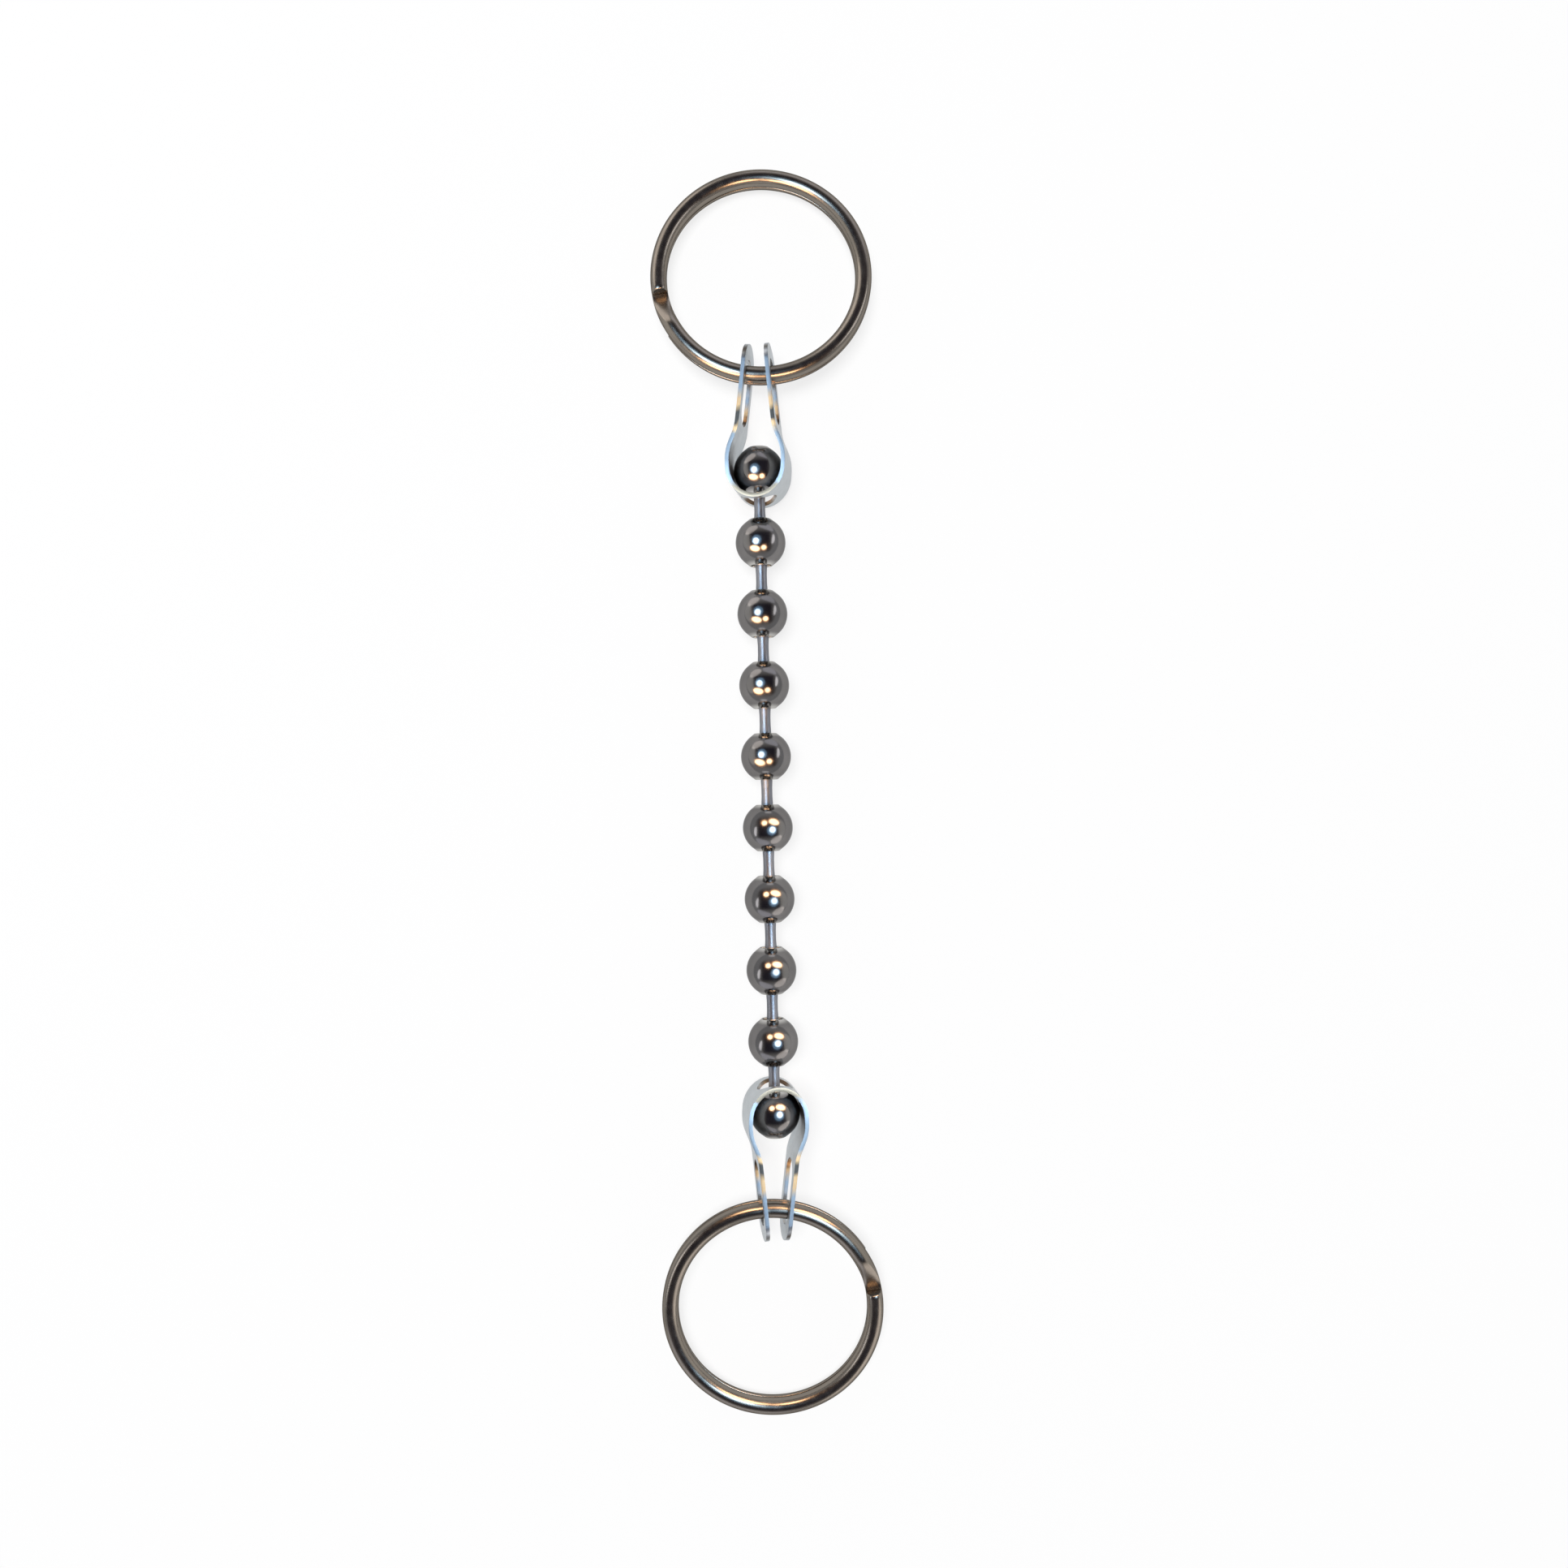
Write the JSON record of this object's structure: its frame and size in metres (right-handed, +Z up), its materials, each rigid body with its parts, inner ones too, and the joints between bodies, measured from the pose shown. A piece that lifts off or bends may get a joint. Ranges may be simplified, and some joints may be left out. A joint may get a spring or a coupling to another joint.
{
  "type": "roller blind ball chain",
  "caption": "Nickel-plated metal ball chain for a roller blind, with a folded end clip and a split ring at each end.",
  "frame": {"origin": "on the table under the middle of the chain, which lies straight", "axes": "+Y along the chain towards the upper ring, +Z up from the table, +X to the right seen from above"},
  "size_m": [0.0212, 0.1132, 0.0052],
  "materials": {
    "ball_nickel": "polished nickel plate, warm grey",
    "pin_nickel": "drawn wire, nickel plated, blue-grey",
    "ring_nickel": "polished nickel plate on spring wire, warm brown-grey",
    "clip_nickel": "bright nickel plate on thin steel strip"
  },
  "bodies": {
    "ball_01": {"ball_01": "ball_nickel"},
    "ball_02": {"ball_02": "ball_nickel"},
    "ball_03": {"ball_03": "ball_nickel"},
    "ball_04": {"ball_04": "ball_nickel"},
    "ball_05": {"ball_05": "ball_nickel"},
    "ball_06": {"ball_06": "ball_nickel"},
    "ball_07": {"ball_07": "ball_nickel"},
    "ball_08": {"ball_08": "ball_nickel"},
    "ball_09": {"ball_09": "ball_nickel"},
    "ball_10": {"ball_10": "ball_nickel"},
    "lower_clip": {"lower_clip": "clip_nickel"},
    "lower_split_ring": {"lower_split_ring": "ring_nickel"},
    "pin_01": {"pin_01": "pin_nickel"},
    "pin_02": {"pin_02": "pin_nickel"},
    "pin_03": {"pin_03": "pin_nickel"},
    "pin_04": {"pin_04": "pin_nickel"},
    "pin_05": {"pin_05": "pin_nickel"},
    "pin_06": {"pin_06": "pin_nickel"},
    "pin_07": {"pin_07": "pin_nickel"},
    "pin_08": {"pin_08": "pin_nickel"},
    "pin_09": {"pin_09": "pin_nickel"},
    "upper_clip": {"upper_clip": "clip_nickel"},
    "upper_split_ring": {"upper_split_ring": "ring_nickel"}
  },
  "joints": [
    {"name": "ball_05_swing", "type": "hinge", "parent": "pin_05", "child": "ball_05", "pos_m": [0, 0.00209, 0.00225], "axis": [0, 0, 1], "range_deg": [-18, 18]},
    {"name": "pin_04_tilt", "type": "hinge", "parent": "ball_05", "child": "pin_04", "pos_m": [0, 0.00432, 0.00225], "axis": [1, 0, 0], "range_deg": [-18, 18]},
    {"name": "ball_04_swing", "type": "hinge", "parent": "pin_04", "child": "ball_04", "pos_m": [0, 0.0085, 0.00225], "axis": [0, 0, 1], "range_deg": [-18, 18]},
    {"name": "pin_03_tilt", "type": "hinge", "parent": "ball_04", "child": "pin_03", "pos_m": [0, 0.01073, 0.00225], "axis": [1, 0, 0], "range_deg": [-18, 18]},
    {"name": "ball_03_swing", "type": "hinge", "parent": "pin_03", "child": "ball_03", "pos_m": [0, 0.01491, 0.00225], "axis": [0, 0, 1], "range_deg": [-18, 18]},
    {"name": "pin_02_tilt", "type": "hinge", "parent": "ball_03", "child": "pin_02", "pos_m": [0, 0.01714, 0.00225], "axis": [1, 0, 0], "range_deg": [-18, 18]},
    {"name": "ball_02_swing", "type": "hinge", "parent": "pin_02", "child": "ball_02", "pos_m": [0, 0.02132, 0.00225], "axis": [0, 0, 1], "range_deg": [-18, 18]},
    {"name": "pin_01_tilt", "type": "hinge", "parent": "ball_02", "child": "pin_01", "pos_m": [0, 0.02355, 0.00225], "axis": [1, 0, 0], "range_deg": [-18, 18]},
    {"name": "ball_01_swing", "type": "hinge", "parent": "pin_01", "child": "ball_01", "pos_m": [0, 0.02773, 0.00225], "axis": [0, 0, 1], "range_deg": [-18, 18]},
    {"name": "upper_clip_swivel", "type": "hinge", "parent": "ball_01", "child": "upper_clip", "pos_m": [0, 0.02884, 0.00225], "axis": [0, 1, 0], "continuous": true},
    {"name": "upper_ring_swing", "type": "hinge", "parent": "upper_clip", "child": "upper_split_ring", "pos_m": [0.00021, 0.03734, 0.00258], "axis": [0.9989, -0.0471, 0], "range_deg": [-120, 120]},
    {"name": "ball_06_swing", "type": "hinge", "parent": "pin_05", "child": "ball_06", "pos_m": [0, -0.00209, 0.00225], "axis": [0, 0, 1], "range_deg": [-18, 18]},
    {"name": "pin_06_tilt", "type": "hinge", "parent": "ball_06", "child": "pin_06", "pos_m": [0, -0.00432, 0.00225], "axis": [-1, 0, 0], "range_deg": [-18, 18]},
    {"name": "ball_07_swing", "type": "hinge", "parent": "pin_06", "child": "ball_07", "pos_m": [0, -0.0085, 0.00225], "axis": [0, 0, 1], "range_deg": [-18, 18]},
    {"name": "pin_07_tilt", "type": "hinge", "parent": "ball_07", "child": "pin_07", "pos_m": [0, -0.01073, 0.00225], "axis": [-1, 0, 0], "range_deg": [-18, 18]},
    {"name": "ball_08_swing", "type": "hinge", "parent": "pin_07", "child": "ball_08", "pos_m": [0, -0.01491, 0.00225], "axis": [0, 0, 1], "range_deg": [-18, 18]},
    {"name": "pin_08_tilt", "type": "hinge", "parent": "ball_08", "child": "pin_08", "pos_m": [0, -0.01714, 0.00225], "axis": [-1, 0, 0], "range_deg": [-18, 18]},
    {"name": "ball_09_swing", "type": "hinge", "parent": "pin_08", "child": "ball_09", "pos_m": [0, -0.02132, 0.00225], "axis": [0, 0, 1], "range_deg": [-18, 18]},
    {"name": "pin_09_tilt", "type": "hinge", "parent": "ball_09", "child": "pin_09", "pos_m": [0, -0.02355, 0.00225], "axis": [-1, 0, 0], "range_deg": [-18, 18]},
    {"name": "ball_10_swing", "type": "hinge", "parent": "pin_09", "child": "ball_10", "pos_m": [0, -0.02773, 0.00225], "axis": [0, 0, 1], "range_deg": [-18, 18]},
    {"name": "lower_clip_swivel", "type": "hinge", "parent": "ball_10", "child": "lower_clip", "pos_m": [0, -0.02884, 0.00225], "axis": [0, -1, 0], "continuous": true},
    {"name": "lower_ring_swing", "type": "hinge", "parent": "lower_clip", "child": "lower_split_ring", "pos_m": [-0.00021, -0.03734, 0.00258], "axis": [-0.9989, 0.0471, 0], "range_deg": [-120, 120]}
  ]
}
